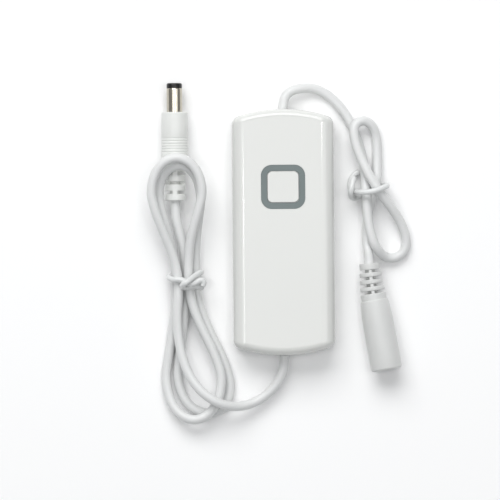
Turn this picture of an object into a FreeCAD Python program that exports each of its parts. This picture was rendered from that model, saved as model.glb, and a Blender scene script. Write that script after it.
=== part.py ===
import FreeCAD, Part
import math
import os
import re

from FreeCAD import Placement, Rotation, Vector
from Sketcher import Constraint

# Receiver for a light strip: a snap-together case with one push button in a square frame, a short
# lead with a barrel plug tied in a hank, and a shorter lead with a barrel socket tied in a loop.
# The origin is under the middle of the case, on its flat back. +X is to the right and +Y towards
# the output cord when the button faces the eye, and +Z points out of the front. All in millimetres.

SIZES = {
    # Case
    "case_width": 35.5,
    "case_length": 86,
    "case_height": 13.5,
    "case_end_bulge": 3.2,
    "case_corner": 3,
    "case_side_roll": 4.5,
    "case_end_roll": 2.6,
    "case_back_edge": 0.9,
    "seam_height": 5,
    "seam_edge": 0.15,
    "wall": 1.8,
    "lip_height": 1.2,
    "lip_gap": 0.08,
    "catch_length": 8,
    "catch_reach": 0.3,
    "catch_height": 0.5,
    "catch_spread": 40,
    # Button and its frame
    "button_place": 15.8,
    "frame_outside": 15.4,
    "frame_inside": 11.2,
    "frame_outer_corner": 3.8,
    "frame_inner_corner": 1.85,
    "frame_depth": 1.2,
    "frame_fit": 0.05,
    "cap_gap": 0.15,
    "cap_edge": 0.25,
    "flange_overlap": 0.7,
    "flange_depth": 0.85,
    "flange_drop": 0.1,
    "flange_gap": 0.2,
    "flange_corner": 2.2,
    "boss_wall": 1.5,
    "boss_depth": 1,
    "stem_radius": 2,
    # Circuit board and its posts
    "board_width": 28.5,
    "board_length": 66,
    "board_thick": 1.6,
    "board_corner": 2,
    "post_height": 1.6,
    "post_radius": 2.2,
    "pin_radius": 0.95,
    "pin_gap": 0.1,
    "pin_rise": 0.6,
    "post_across": 23,
    "post_along": 54,
    "hold_down_gap": 0.05,
    # Push switch
    "switch_side": 6,
    "switch_height": 3.1,
    "switch_floor": 0.6,
    "well_radius": 2.15,
    "cover_plate": 0.3,
    "plunger_radius": 1.7,
    "plunger_hole_gap": 0.12,
    "plunger_top": 4.3,
    "plunger_foot_radius": 2,
    "plunger_foot": 0.55,
    "plunger_foot_level": 2.3,
    "plunger_nub_radius": 0.6,
    "plunger_nub": 0.45,
    "dome_radius": 2,
    "dome_rise": 1.15,
    "dome_sheet": 0.12,
    "leg_wide": 0.7,
    "leg_thick": 0.3,
    "leg_reach": 1.1,
    "leg_place": 2.25,
    # Parts on the board
    "module_width": 12,
    "module_length": 16,
    "module_thick": 0.8,
    "module_across": -6.2,
    "module_along": -3.5,
    "shield_width": 10,
    "shield_length": 9,
    "shield_height": 1.9,
    "shield_sheet": 0.25,
    "shield_along": -6,
    "radio_side": 5,
    "radio_height": 0.9,
    "capacitor_radius": 3.1,
    "capacitor_height": 5.4,
    "capacitor_foot": 6.6,
    "capacitor_foot_height": 0.8,
    "capacitor_waist": 0.3,
    "capacitor_foot_corner": 1.2,
    "capacitor_across": -6.3,
    "capacitor_along": -20.5,
    "power_across": 6.5,
    "inductor_side": 6,
    "inductor_height": 3,
    "inductor_corner": 1,
    "inductor_along": -5,
    "fuse_length": 4.5,
    "fuse_width": 3.2,
    "fuse_height": 1.1,
    "fuse_along": -22.5,
    "transistor_width": 6.5,
    "transistor_length": 6,
    "transistor_height": 2.3,
    "transistor_spread": 10.4,
    "transistor_place": 24.2,
    "tab_length": 1.2,
    "tab_thick": 0.5,
    "chip_width": 3.9,
    "chip_length": 4.9,
    "chip_height": 1.5,
    "chip_along": 2.8,
    "chip_lift": 0.1,
    "chip_leg_pitch": 1.27,
    "chip_leg_reach": 1,
    "chip_leg_wide": 0.42,
    "chip_leg_thick": 0.22,
    "regulator_width": 4.5,
    "regulator_length": 2.5,
    "regulator_height": 1.5,
    "regulator_along": -14,
    "capacitor_chip_width": 1.25,
    "capacitor_chip_length": 2,
    "capacitor_chip_height": 0.9,
    "capacitor_chip_across": 11.6,
    "capacitor_chip_start": -14,
    "capacitor_chip_pitch": 3.4,
    "resistor_width": 0.8,
    "resistor_length": 1.6,
    "resistor_height": 0.45,
    "resistor_along": 8.6,
    "resistor_start": -10,
    "resistor_pitch": 1.7,
    "light_width": 1.6,
    "light_length": 0.8,
    "light_height": 0.7,
    "light_across": 6.4,
    # Cords and how the case holds them
    "cord_diameter": 3.3,
    "cord_gap": 0.1,
    "collar_inset": 4.1,
    "collar_length": 2,
    "collar_radius": 3.1,
    "collar_play": 0.1,
    "rib_thick": 1.2,
    "rib_width": 12,
    "core_diameter": 1.3,
    "core_spread": 1.6,
    "pad_spread": 5,
    "pad_inset": 2.6,
    "solder_radius": 1.5,
    "solder_height": 1.7,
    # Barrel plug on the input cord
    "plug_across": -37.77,
    "plug_shoulder": 23.7,
    "plug_radius": 4.68,
    "plug_length": 18.7,
    "plug_edge": 0.7,
    "grip_count": 6,
    "grip_pitch": 0.95,
    "grip_start": 4.4,
    "grip_depth": 0.3,
    "plug_relief_radius": 3.5,
    "plug_rib_count": 4,
    "plug_rib_gap": 0.85,
    "plug_relief_length": 12.3,
    "plug_web": 2,
    "core_cover": 0.15,
    "sleeve_radius": 2.75,
    "sleeve_wall": 0.5,
    "sleeve_step": 0.2,
    "sleeve_reach": 8.4,
    "sleeve_depth": 6,
    "tip_radius": 2.55,
    "tip_length": 1.75,
    "tip_edge": 0.55,
    "tip_hole_radius": 1.3,
    "tip_step": 0.4,
    "contact_radius": 1.05,
    "contact_wall": 0.4,
    "contact_start": 1,
    # Barrel socket on the output cord
    "socket_across": 31.57,
    "socket_shoulder": -24.03,
    "socket_tilt": 9.7,
    "socket_length": 24.8,
    "socket_shoulder_radius": 4.8,
    "socket_mouth_radius": 5.45,
    "socket_swell": 5.5,
    "socket_full_width": 12,
    "socket_edge": 1,
    "insert_radius": 4,
    "insert_length": 16,
    "insert_recess": 0.6,
    "socket_bore_radius": 2.85,
    "socket_bore_depth": 10.5,
    "socket_pin_radius": 1,
    "socket_pin_length": 9.3,
    "socket_pin_step": 0.2,
    "spring_width": 1.6,
    "spring_thick": 0.3,
    "spring_length": 8,
    "spring_inset": 0.15,
    "spring_bump": 1.4,
    "socket_relief_length": 12.9,
    "socket_relief_bend": 5.7,
    "socket_spine": 1.3,
    "collar_ring_radius": 4.4,
    "collar_ring_length": 2.3,
    "relief_rib_length": 1.5,
    "relief_end_ring_length": 2.2,
    "relief_rib_edge": 0.2,
    "relief_first_rib": 4.3,
    "relief_last_rib": 3.6,
    "relief_rib_count": 4,
    # Hank of the input cord
    "hank_across": -33.89,
    "hank_along": -16.8,
    "hank_step": 3.9,
    "hank_layer": 3.5,
    "hank_low": 3.75,
    "hank_turns": 2,
    # Loop of the output cord
    "loop_across": 30.7,
    "loop_along": 14.2,
    # Coated wire ties
    "tie_diameter": 1.7,
    "tie_gap": 0.3,
}

doc = FreeCAD.newDocument("StripReceiver")
sheet = doc.addObject("Spreadsheet::Sheet", "Sizes")
for row, (name, number) in enumerate(SIZES.items(), start=1):
    sheet.set(f"A{row}", name)
    sheet.set(f"B{row}", str(number))
    sheet.setAlias(f"B{row}", name)
doc.recompute()

pieces = []


def size(name):
    """One driving dimension, read from the sheet."""
    return float(sheet.get(name))


def bind(item, slot, formula):
    """Tie one property of an object to sizes in the sheet."""
    words = r"\b(" + "|".join(SIZES) + r")\b"
    item.setExpression(slot, re.sub(words, r"Sizes.\1", formula))


def place(item, x, y, z):
    for axis, formula in zip("xyz", (x, y, z)):
        bind(item, f"Placement.Base.{axis}", formula)


def piece(node, item):
    """Name a finished sub-part: its label is its node and its file."""
    item.Label = node
    pieces.append(item)
    return item


def block(name, across, along, tall, x="0", y="0", z="0"):
    """A box centred on x and y, standing on z."""
    item = doc.addObject("Part::Box", name)
    bind(item, "Length", across)
    bind(item, "Width", along)
    bind(item, "Height", tall)
    place(item, f"{x} - ({across}) / 2", f"{y} - ({along}) / 2", z)
    return item


def post(name, radius, tall, x="0", y="0", z="0"):
    """An upright cylinder."""
    item = doc.addObject("Part::Cylinder", name)
    bind(item, "Radius", radius)
    bind(item, "Height", tall)
    place(item, x, y, z)
    return item


def rod(name, radius, length, x, y, z):
    """A cylinder lying along +Y from its first end."""
    item = doc.addObject("Part::Cylinder", name)
    item.Placement = Placement(Vector(), Rotation(Vector(1, 0, 0), -90))
    bind(item, "Radius", radius)
    bind(item, "Height", length)
    place(item, x, y, z)
    return item


def join(name, items):
    item = doc.addObject("Part::MultiFuse", name)
    item.Shapes = items
    item.Refine = True
    return item


def carve(name, base, tools):
    item = doc.addObject("Part::Cut", name)
    item.Base = base
    item.Tool = tools[0] if len(tools) == 1 else join(f"{name}_tools", tools)
    return item


def group(name, items):
    """Like pieces that share one node as separate solids."""
    item = doc.addObject("Part::Compound", name)
    item.Links = items
    return item


def fillet(name, base, choose):
    """Round the edges of a base: choose gives an edge's radius, or 0 to leave it sharp."""
    doc.recompute()
    radii = [(number, choose(edge)) for number, edge in enumerate(base.Shape.Edges, start=1)]
    item = doc.addObject("Part::Fillet", name)
    item.Base = base
    item.Edges = [(number, radius, radius) for number, radius in radii if radius]
    return item


def is_upright(edge):
    return edge.BoundBox.XLength < 1e-3 and edge.BoundBox.YLength < 1e-3


def rounded_square(name, across, tall, corner, y, z, edge_round=0):
    """A square slab with round corners, and its front edge eased if asked."""
    slab = block(f"{name}_slab", across, across, tall, "0", y, z)
    doc.recompute()
    front = slab.Shape.BoundBox.ZMax

    def choose(edge):
        if is_upright(edge):
            return corner
        return edge_round if edge.BoundBox.ZMin > front - 1e-3 else 0

    return fillet(name, slab, choose)


# Case

def case_outline(name, inset):
    """Plan of the case, moved inwards by inset: straight sides, ends bulged to one radius."""
    half = size("case_width") / 2
    side = size("case_length") / 2 - size("case_end_bulge")
    bow = (half ** 2 + size("case_end_bulge") ** 2) / (2 * size("case_end_bulge"))
    swing = math.asin(half / bow)
    centre = size("case_length") / 2 - bow
    sketch = doc.addObject("Sketcher::SketchObject", name)
    upward = Vector(0, 0, 1)
    far = Part.Circle(Vector(0, centre, 0), upward, bow)
    near = Part.Circle(Vector(0, -centre, 0), upward, bow)
    quarter = math.pi / 2
    sketch.addGeometry(Part.LineSegment(Vector(half, -side, 0), Vector(half, side, 0)))
    sketch.addGeometry(Part.ArcOfCircle(far, quarter - swing, quarter + swing))
    sketch.addGeometry(Part.LineSegment(Vector(-half, side, 0), Vector(-half, -side, 0)))
    sketch.addGeometry(Part.ArcOfCircle(near, -quarter - swing, -quarter + swing))
    for first, second in ((0, 1), (1, 2), (2, 3), (3, 0)):
        sketch.addConstraint(Constraint("Coincident", first, 2, second, 1))
    sketch.addConstraint(Constraint("Symmetric", 0, 1, 0, 2, -1))
    sketch.addConstraint(Constraint("Symmetric", 0, 2, 2, 1, -2))
    sketch.addConstraint(Constraint("Symmetric", 2, 1, 2, 2, -1))
    sketch.addConstraint(Constraint("Equal", 1, 3))
    named = {
        "width": Constraint("DistanceX", 2, 1, 0, 2, 2 * half),
        "side": Constraint("DistanceY", 0, 1, 0, 2, 2 * side),
        "bow": Constraint("Radius", 1, bow),
    }
    for word, constraint in named.items():
        number = sketch.addConstraint(constraint)
        sketch.renameConstraint(number, word)
    full_bow = "((case_width ^ 2 / 4 + case_end_bulge ^ 2) / (2 * case_end_bulge))"
    bind(sketch, "Constraints.width", f"case_width - 2 * ({inset})")
    bind(sketch, "Constraints.bow", f"{full_bow} - ({inset})")
    reach = f"sqrt(({full_bow} - ({inset})) ^ 2 - (case_width / 2 - ({inset})) ^ 2)"
    bind(sketch, "Constraints.side", f"2 * (case_length / 2 - {full_bow} + {reach})")
    return sketch


def case_block(name, inset, bottom, tall):
    """A slab with the plan of the case."""
    outline = case_outline(f"{name}_plan", inset)
    slab = doc.addObject("Part::Extrusion", name)
    slab.Base = outline
    slab.DirMode = "Normal"
    slab.Solid = True
    bind(slab, "LengthFwd", tall)
    place(slab, "0", "0", bottom)
    return slab


def case_solid(name, inset, bottom, tall, corner, side, end, front=True, seam_edge=0):
    """A case slab with round corners, the edges of one face rolled and those of the other eased."""
    slab = case_block(f"{name}_slab", inset, bottom, tall)
    doc.recompute()
    box = slab.Shape.BoundBox
    rim = box.ZMax if front else box.ZMin

    def choose(edge):
        if is_upright(edge):
            return corner
        if abs(edge.BoundBox.ZMin - rim) > 1e-3 or edge.BoundBox.ZLength > 1e-3:
            return seam_edge
        return side if edge.BoundBox.XLength < 1e-3 else end

    return fillet(name, slab, choose)


def inner(radius):
    """The radius that runs parallel inside a wall."""
    return max(radius - size("wall"), 0.3)


corner = size("case_corner")
side_roll = size("case_side_roll")
end_roll = size("case_end_roll")
back_edge = size("case_back_edge")
eased = size("seam_edge")
board_bottom = "wall + post_height"
board_top = f"{board_bottom} + board_thick"
ceiling = "case_height - wall"
collar_start = "(case_length / 2 - collar_inset)"
pad_place = "(board_length / 2 - pad_inset)"


def cord_exits(name):
    """A hole for the cord right through both ends, on the seam."""
    return rod(
        name, "cord_diameter / 2 + cord_gap", "case_length + 2", "0", "-case_length / 2 - 1",
        "seam_height")


def end_ribs(name, bottom, tall):
    """A cross rib behind each end wall, which keeps the collar of the cord in its place."""
    ribs = []
    for end, sign in (("near", "-"), ("far", "")):
        middle = f"{sign}({collar_start} - collar_play - rib_thick / 2)"
        ribs.append(block(f"{name}_{end}_rib", "rib_width", "rib_thick", tall, "0", middle, bottom))
    return ribs


def at_posts(name, radius, bottom, tall):
    """An upright cylinder at each corner of the board."""
    posts = []
    for across, hand in (("-", "left"), ("", "right")):
        for along, end in (("-", "near"), ("", "far")):
            posts.append(post(
                f"{name}_{hand}_{end}", radius, tall, f"{across}post_across / 2",
                f"{along}post_along / 2", bottom))
    return posts


def catches(name, grow):
    """Snap catches on the long sides of the lip, or with grow the grooves that they click into."""
    reach = f"catch_reach + {grow}"
    middle = f"case_width / 2 - wall / 2 - lip_gap + ({reach}) / 2"
    bars = []
    for across, hand in (("-", "left"), ("", "right")):
        for along, end in (("-", "near"), ("", "far")):
            bars.append(block(
                f"{name}_{hand}_{end}", f"{reach} + 0.2", f"catch_length + 2 * {grow}",
                f"catch_height + 2 * {grow}", f"{across}({middle} - 0.1)", f"{along}catch_spread / 2",
                f"seam_height + lip_height / 2 - catch_height / 2 - {grow}"))
    return bars


# Back shell: a tray with posts for the board and a lip that snaps into the front shell
tray = case_solid(
    "tray", "0", "0", "seam_height", corner, back_edge, back_edge, front=False, seam_edge=eased)
tray_room = case_solid(
    "tray_room", "wall", "wall", "seam_height", inner(corner), 0.3, 0.3, front=False)
lip = case_block("lip_slab", "wall / 2 + lip_gap", "seam_height - 0.5", "lip_height + 0.5")
lip_core = case_block("lip_core", "wall", "seam_height - 1", "lip_height + 2")
lip_corner = corner - size("wall") / 2
lip_round = fillet("lip_round", lip, lambda edge: lip_corner if is_upright(edge) else 0)
lip_core_round = fillet("lip_core_round", lip_core, lambda edge: inner(corner) if is_upright(edge) else 0)
lip_ring = carve("lip_ring", lip_round, [lip_core_round])
posts = at_posts("board_post", "post_radius", "wall - 0.2", "post_height + 0.2")
pins = at_posts("board_pin", "pin_radius", "wall", "post_height + board_thick + pin_rise")
tray_ribs = end_ribs("tray", "wall - 0.2", "seam_height - wall + 0.2")
tray_shell = carve("tray_shell", tray, [tray_room])
tray_all = join("tray_all", [tray_shell, lip_ring, *catches("catch", "0"), *posts, *pins, *tray_ribs])
back_shell = piece("bottom_cover", carve("back_shell", tray_all, [cord_exits("tray_exits")]))

# Front shell: a deep cover with rolled sides, a framed button hole and posts that hold the board down
hood = case_solid(
    "hood", "0", "seam_height", "case_height - seam_height", corner, side_roll, end_roll,
    seam_edge=eased)
hood_room = case_solid(
    "hood_room", "wall", "seam_height - 1", "case_height - wall - seam_height + 1",
    inner(corner), inner(side_roll), inner(end_roll))
rebate_slab = case_block("rebate_slab", "wall / 2", "seam_height - 1", "lip_height + lip_gap + 1")
rebate = fillet("rebate", rebate_slab, lambda edge: lip_corner if is_upright(edge) else 0)
frame_seat = rounded_square(
    "frame_seat", "frame_outside + 2 * frame_fit", "frame_depth + 1",
    size("frame_outer_corner"), "button_place", "case_height - frame_depth")
flange_side = "frame_inside - 2 * cap_gap + 2 * flange_overlap"
button_hole = rounded_square(
    "button_hole", f"{flange_side} + 2 * flange_gap", "case_height",
    size("flange_corner"), "button_place", "seam_height")
boss = rounded_square(
    "boss", "frame_outside + 2 * boss_wall", "boss_depth + 0.3",
    size("frame_outer_corner"), "button_place", f"{ceiling} - boss_depth")
hold_downs = at_posts(
    "hold_down", "post_radius", f"{board_top} + hold_down_gap",
    f"{ceiling} + 0.3 - ({board_top}) - hold_down_gap")
pin_clearance = at_posts(
    "pin_clearance", "pin_radius + pin_gap", board_top, "pin_rise + 2 * pin_gap + hold_down_gap")
hood_rib_foot = "seam_height + lip_height + 2 * lip_gap"
hood_ribs = end_ribs("hood", hood_rib_foot, f"{ceiling} + 0.2 - ({hood_rib_foot})")
hood_shell = carve("hood_shell", hood, [hood_room, rebate, *catches("groove", "0.1")])
hood_all = join("hood_all", [hood_shell, boss, *hold_downs, *hood_ribs])
front_shell = piece("top_cover", carve(
    "front_shell", hood_all, [frame_seat, button_hole, cord_exits("hood_exits"), *pin_clearance]))

# Square frame let into the front, flush with it
frame_slab = rounded_square(
    "frame_slab", "frame_outside", "frame_depth", size("frame_outer_corner"), "button_place",
    "case_height - frame_depth")
frame_window = rounded_square(
    "frame_window", "frame_inside", "2 * frame_depth", size("frame_inner_corner"), "button_place",
    "case_height - 1.5 * frame_depth")
piece("button_frame", carve("frame_ring", frame_slab, [frame_window]))

# Push button: a flush cap, a flange caught under the frame, and a stem down to the switch
flange_top = "case_height - frame_depth - flange_drop"
plunger_level = f"{board_top} + plunger_top"
cap_corner = size("frame_inner_corner") - size("cap_gap")
cap_head = rounded_square(
    "cap_head", "frame_inside - 2 * cap_gap", f"case_height - ({flange_top})", cap_corner,
    "button_place", flange_top, size("cap_edge"))
flange = rounded_square(
    "flange", flange_side, "flange_depth", size("flange_corner") - size("flange_gap"), "button_place",
    f"{flange_top} - flange_depth")
stem = post(
    "stem", "stem_radius", f"{flange_top} - flange_depth / 2 - ({plunger_level})", "0", "button_place",
    plunger_level)
piece("button_cap", join("button_solid", [cap_head, flange, stem]))

# Circuit board
board_slab = block("board_slab", "board_width", "board_length", "board_thick", "0", "0", board_bottom)
board_corner = size("board_corner")
board_round = fillet("board_round", board_slab, lambda edge: board_corner if is_upright(edge) else 0)
board_holes = at_posts("board_hole", "pin_radius + pin_gap", board_bottom, "2 * board_thick")
piece("circuit_board", carve("board", board_round, board_holes))

# Push switch: moulded base, dome, plunger, pressed cover plate and four legs
switch_block = block(
    "switch_block", "switch_side", "switch_side", "switch_height", "0", "button_place", board_top)
well = post("well", "well_radius", "switch_height", "0", "button_place", f"{board_top} + switch_floor")
piece("switch_base", carve("switch_moulding", switch_block, [well]))
plate = block(
    "plate", "switch_side", "switch_side", "cover_plate", "0", "button_place",
    f"{board_top} + switch_height")
plate_hole = post(
    "plate_hole", "plunger_radius + plunger_hole_gap", "3 * cover_plate", "0", "button_place",
    f"{board_top} + switch_height - cover_plate")
piece("switch_cover_plate", carve("plate_solid", plate, [plate_hole]))
foot_level = f"{board_top} + plunger_foot_level"
plunger_shaft = post(
    "plunger_shaft", "plunger_radius", f"{plunger_level} - ({foot_level})", "0", "button_place", foot_level)
plunger_disc = post(
    "plunger_disc", "plunger_foot_radius", "plunger_foot", "0", "button_place", foot_level)
plunger_tip = post(
    "plunger_tip", "plunger_nub_radius", "plunger_nub + 0.1", "0", "button_place",
    f"{foot_level} - plunger_nub")
piece("switch_plunger", join("plunger", [plunger_shaft, plunger_disc, plunger_tip]))


def dome_cap(name, inset):
    """A ball whose top stands above the floor of the switch well, made smaller by inset."""
    ball = doc.addObject("Part::Sphere", name)
    bow = "((dome_radius ^ 2 + dome_rise ^ 2) / (2 * dome_rise))"
    bind(ball, "Radius", f"{bow} - {inset}")
    place(ball, "0", "button_place", f"{board_top} + switch_floor + dome_rise - {bow}")
    return ball


dome_ball = dome_cap("dome_ball", "0")
dome_shell = carve("dome_shell", dome_ball, [dome_cap("dome_hollow", "dome_sheet")])
dome_limit = post(
    "dome_limit", "dome_radius + 0.1", "dome_rise + 1", "0", "button_place", f"{board_top} + switch_floor")
dome = doc.addObject("Part::Common", "dome")
dome.Base = dome_shell
dome.Tool = dome_limit
piece("switch_dome", dome)
legs = []
for across in ("-", ""):
    for along in ("-", "+"):
        legs.append(block(
            f"leg_{len(legs)}", "leg_reach", "leg_wide", "leg_thick",
            f"{across}(switch_side / 2 + leg_reach / 2)", f"button_place {along} leg_place", board_top))
piece("switch_legs", group("leg_set", legs))


# Parts soldered to the board

def on_board(name, across, along, tall, x, y, lift="0"):
    return block(name, across, along, tall, x, y, f"{board_top} + {lift}")


module = on_board(
    "module", "module_width", "module_length", "module_thick", "module_across", "module_along")
piece("wireless_module", module)
can = on_board(
    "can", "shield_width", "shield_length", "shield_height", "module_across", "shield_along",
    "module_thick")
can_room = on_board(
    "can_room", "shield_width - 2 * shield_sheet", "shield_length - 2 * shield_sheet",
    "shield_height - shield_sheet", "module_across", "shield_along", "module_thick")
piece("module_shield", carve("can_shell", can, [can_room]))
radio_chip = on_board(
    "radio_chip", "radio_side", "radio_side", "radio_height", "module_across", "shield_along",
    "module_thick")
piece("radio_chip", radio_chip)

capacitor_foot = on_board(
    "capacitor_foot", "capacitor_foot", "capacitor_foot", "capacitor_foot_height",
    "capacitor_across", "capacitor_along")


def is_marked_corner(edge):
    """The two corners of the capacitor's base that are cut to mark its pole."""
    return is_upright(edge) and edge.BoundBox.YMin > size("capacitor_along")


piece("capacitor_base", fillet(
    "capacitor_base_solid", capacitor_foot,
    lambda edge: size("capacitor_foot_corner") if is_marked_corner(edge) else 0))


def turned(name, section):
    """A body turned about its own Z axis from a section's corners: each a radius and a height."""
    body = doc.addObject("PartDesign::Body", name)
    sketch = body.newObject("Sketcher::SketchObject", f"{name}_section")
    plane = next(item for item in body.Origin.OriginFeatures if item.Role == "XZ_Plane")
    sketch.AttachmentSupport = (plane, [""])
    sketch.MapMode = "FlatFace"
    count = len(section)
    start = [Vector(9 + 5 * math.cos(math.tau * i / count), 9 + 5 * math.sin(math.tau * i / count), 0)
             for i in range(count)]
    for i in range(count):
        sketch.addGeometry(Part.LineSegment(start[i], start[(i + 1) % count]))
    for i in range(count):
        sketch.addConstraint(Constraint("Coincident", i, 2, (i + 1) % count, 1))
    for i, (radius, height) in enumerate(section):
        for way, rough, formula in (("DistanceX", start[i].x, radius), ("DistanceY", start[i].y, height)):
            number = sketch.addConstraint(Constraint(way, -1, 1, i, 1, rough))
            bind(sketch, f"Constraints[{number}]", formula)
    turn = body.newObject("PartDesign::Revolution", f"{name}_turn")
    turn.Profile = sketch
    turn.ReferenceAxis = (sketch, ["V_Axis"])
    turn.Angle = 360
    return body


can_section = [
    ("0", "capacitor_foot_height"), ("capacitor_radius", "capacitor_foot_height"),
    ("capacitor_radius", "capacitor_foot_height + 0.7"),
    ("capacitor_radius - capacitor_waist", "capacitor_foot_height + 1"),
    ("capacitor_radius", "capacitor_foot_height + 1.3"), ("capacitor_radius", "capacitor_height - 0.3"),
    ("capacitor_radius - 0.3", "capacitor_height"), ("0", "capacitor_height")]
can_body = turned("can_body", can_section)
place(can_body, "capacitor_across", "capacitor_along", board_top)
piece("filter_capacitor", can_body)

inductor_slab = on_board(
    "inductor_slab", "inductor_side", "inductor_side", "inductor_height", "power_across",
    "inductor_along")
piece("power_inductor", fillet(
    "inductor_solid", inductor_slab,
    lambda edge: size("inductor_corner") if is_upright(edge) else 0))
piece("resettable_fuse", on_board(
    "fuse", "fuse_length", "fuse_width", "fuse_height", "power_across", "fuse_along"))


def legs_along(name, x, y, pitch, count):
    """A row of flat legs, spaced by pitch along the board."""
    row = []
    for i in range(count):
        step = i - (count - 1) / 2
        row.append(on_board(
            f"{name}_{i}", "chip_leg_reach", "chip_leg_wide", "chip_leg_thick", x,
            f"{y} + {step} * {pitch}"))
    return row


piece("driver_chip", on_board(
    "driver", "chip_width", "chip_length", "chip_height", "power_across", "chip_along", "chip_lift"))
driver_legs = []
for way, hand in (("-", "left"), ("+", "right")):
    driver_legs += legs_along(
        f"driver_leg_{hand}", f"power_across {way} (chip_width + chip_leg_reach) / 2", "chip_along",
        "chip_leg_pitch", 4)
piece("driver_chip_legs", group("driver_leg_set", driver_legs))

transistors = []
tabs = []
for across, hand in (("-", "left"), ("", "right")):
    middle = f"{across}transistor_spread / 2"
    transistors.append(on_board(
        f"transistor_{hand}", "transistor_width", "transistor_length", "transistor_height", middle,
        "transistor_place"))
    tabs.append(on_board(
        f"tab_{hand}", "transistor_width - tab_length", "tab_length", "tab_thick", middle,
        "transistor_place + transistor_length / 2 + tab_length / 2"))
piece("power_transistors", group("transistor_set", transistors))
piece("transistor_tabs", group("tab_set", tabs))
piece("voltage_regulator", on_board(
    "regulator", "regulator_width", "regulator_length", "regulator_height", "power_across",
    "regulator_along"))

capacitor_chips = []
for i in range(5):
    capacitor_chips.append(on_board(
        f"capacitor_chip_{i}", "capacitor_chip_width", "capacitor_chip_length",
        "capacitor_chip_height", "capacitor_chip_across",
        f"capacitor_chip_start + {i} * capacitor_chip_pitch"))
resistors = []
for i in range(6):
    resistors.append(on_board(
        f"resistor_{i}", "resistor_width", "resistor_length", "resistor_height",
        f"resistor_start + {i} * resistor_pitch", "resistor_along"))
piece("chip_capacitors", group("capacitor_chip_set", capacitor_chips))
piece("chip_resistors", group("resistor_set", resistors))
piece("status_light", on_board(
    "status_lamp", "light_width", "light_length", "light_height", "light_across", "button_place"))


# Barrel plug, built from its shoulder: the cord side is below, the metal barrel above

def lying(across, along, turn, tilt=0):
    """Lay a piece built upright on the floor: its own +Z turned to +Y or -Y, then tilted."""
    upright = Rotation(Vector(0, 0, 1), tilt) * Rotation(Vector(1, 0, 0), turn)
    return Placement(Vector(across, along, 0), upright)


def lie(item, across, along, lift, turn, tilt=0):
    item.Placement = lying(0, 0, turn, tilt)
    place(item, across, along, lift)
    return item


def ribbed_relief(outer, core, length, gap, count):
    """Ribs of a strain relief, as corners of its half section from the cord's end up."""
    pitch = f"(({length} + {gap}) / {count})"
    corners = [("0", f"-({length})"), (outer, f"-({length})")]
    for rib in range(1, count + 1):
        top = f"{rib} * {pitch} - ({length})"
        corners += [(outer, f"{top} - {gap}"), (core, f"{top} - {gap}")]
        if rib < count:
            corners += [(core, top), (outer, top)]
    return corners


plug_core = "cord_diameter / 2 + core_cover"
sleeve_root = "sleeve_radius - sleeve_step"
section = ribbed_relief(
    "plug_relief_radius", plug_core, "plug_relief_length", "plug_rib_gap", int(size("plug_rib_count")))
section += [(plug_core, "0"), ("plug_radius - plug_edge", "0"), ("plug_radius", "plug_edge")]
for groove in range(int(size("grip_count"))):
    low = f"grip_start + {groove} * grip_pitch"
    section += [("plug_radius", low), ("plug_radius - grip_depth", f"{low} + grip_pitch * 0.3")]
    section += [("plug_radius", f"{low} + grip_pitch * 0.6")]
section += [
    ("plug_radius", "plug_length - plug_edge"), ("plug_radius - plug_edge", "plug_length"),
    (sleeve_root, "plug_length"), (sleeve_root, "plug_length - sleeve_depth"),
    ("0", "plug_length - sleeve_depth")]
plug_turned = turned("plug_turned", section)
plug_parts = [plug_turned]
relief_pitch = "((plug_relief_length + plug_rib_gap) / plug_rib_count)"
for gap in range(1, int(size("plug_rib_count")) + 1):
    bottom = f"{gap} * {relief_pitch} - plug_relief_length - plug_rib_gap"
    across = "plug_web" if gap % 2 else "2 * plug_relief_radius"
    along = "2 * plug_relief_radius" if gap % 2 else "plug_web"
    bar = block(f"plug_bar_{gap}", across, along, "plug_rib_gap + 0.2", "0", "0", f"{bottom} - 0.1")
    limit = post(
        f"plug_bar_limit_{gap}", "plug_relief_radius", "2 * plug_rib_gap", "0", "0",
        f"{bottom} - plug_rib_gap / 2")
    web = doc.addObject("Part::Common", f"plug_web_{gap}")
    web.Base = bar
    web.Tool = limit
    plug_parts.append(web)
plug_at = ("plug_across", "plug_shoulder", "plug_radius", -90)
piece("plug_body", lie(join("plug_moulding", plug_parts), *plug_at))

barrel_start = "plug_length - sleeve_depth"
barrel_end = "plug_length + sleeve_reach"
liner_radius = "sleeve_radius - sleeve_wall"
contact_outside = "contact_radius + contact_wall"
contact_end = f"{barrel_end} + tip_step"
sleeve = turned("sleeve", [
    (liner_radius, barrel_start), (sleeve_root, barrel_start), (sleeve_root, "plug_length"),
    ("sleeve_radius", "plug_length"), ("sleeve_radius", f"{barrel_end} - 0.3"),
    ("sleeve_radius - 0.15", barrel_end), (liner_radius, barrel_end)])
piece("plug_sleeve", lie(sleeve, *plug_at))
tip = turned("tip", [
    (contact_outside, barrel_start), (liner_radius, barrel_start), (liner_radius, barrel_end),
    ("tip_radius", barrel_end), ("tip_radius", f"{barrel_end} + tip_length - tip_edge"),
    ("tip_radius - 0.3 * tip_edge", f"{barrel_end} + tip_length - 0.3 * tip_edge"),
    ("tip_radius - tip_edge", f"{barrel_end} + tip_length"),
    ("tip_hole_radius", f"{barrel_end} + tip_length"), ("tip_hole_radius", contact_end),
    (contact_outside, contact_end)])
piece("plug_insulator", lie(tip, *plug_at))
contact_foot = f"{barrel_start} + contact_start"
contact = turned("contact", [
    ("contact_radius", contact_foot), (contact_outside, contact_foot),
    (contact_outside, contact_end), ("contact_radius", contact_end)])
piece("plug_contact", lie(contact, *plug_at))


# Barrel socket: a tapered grip round a black insert, with a strain relief that bends towards its cord

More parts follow.
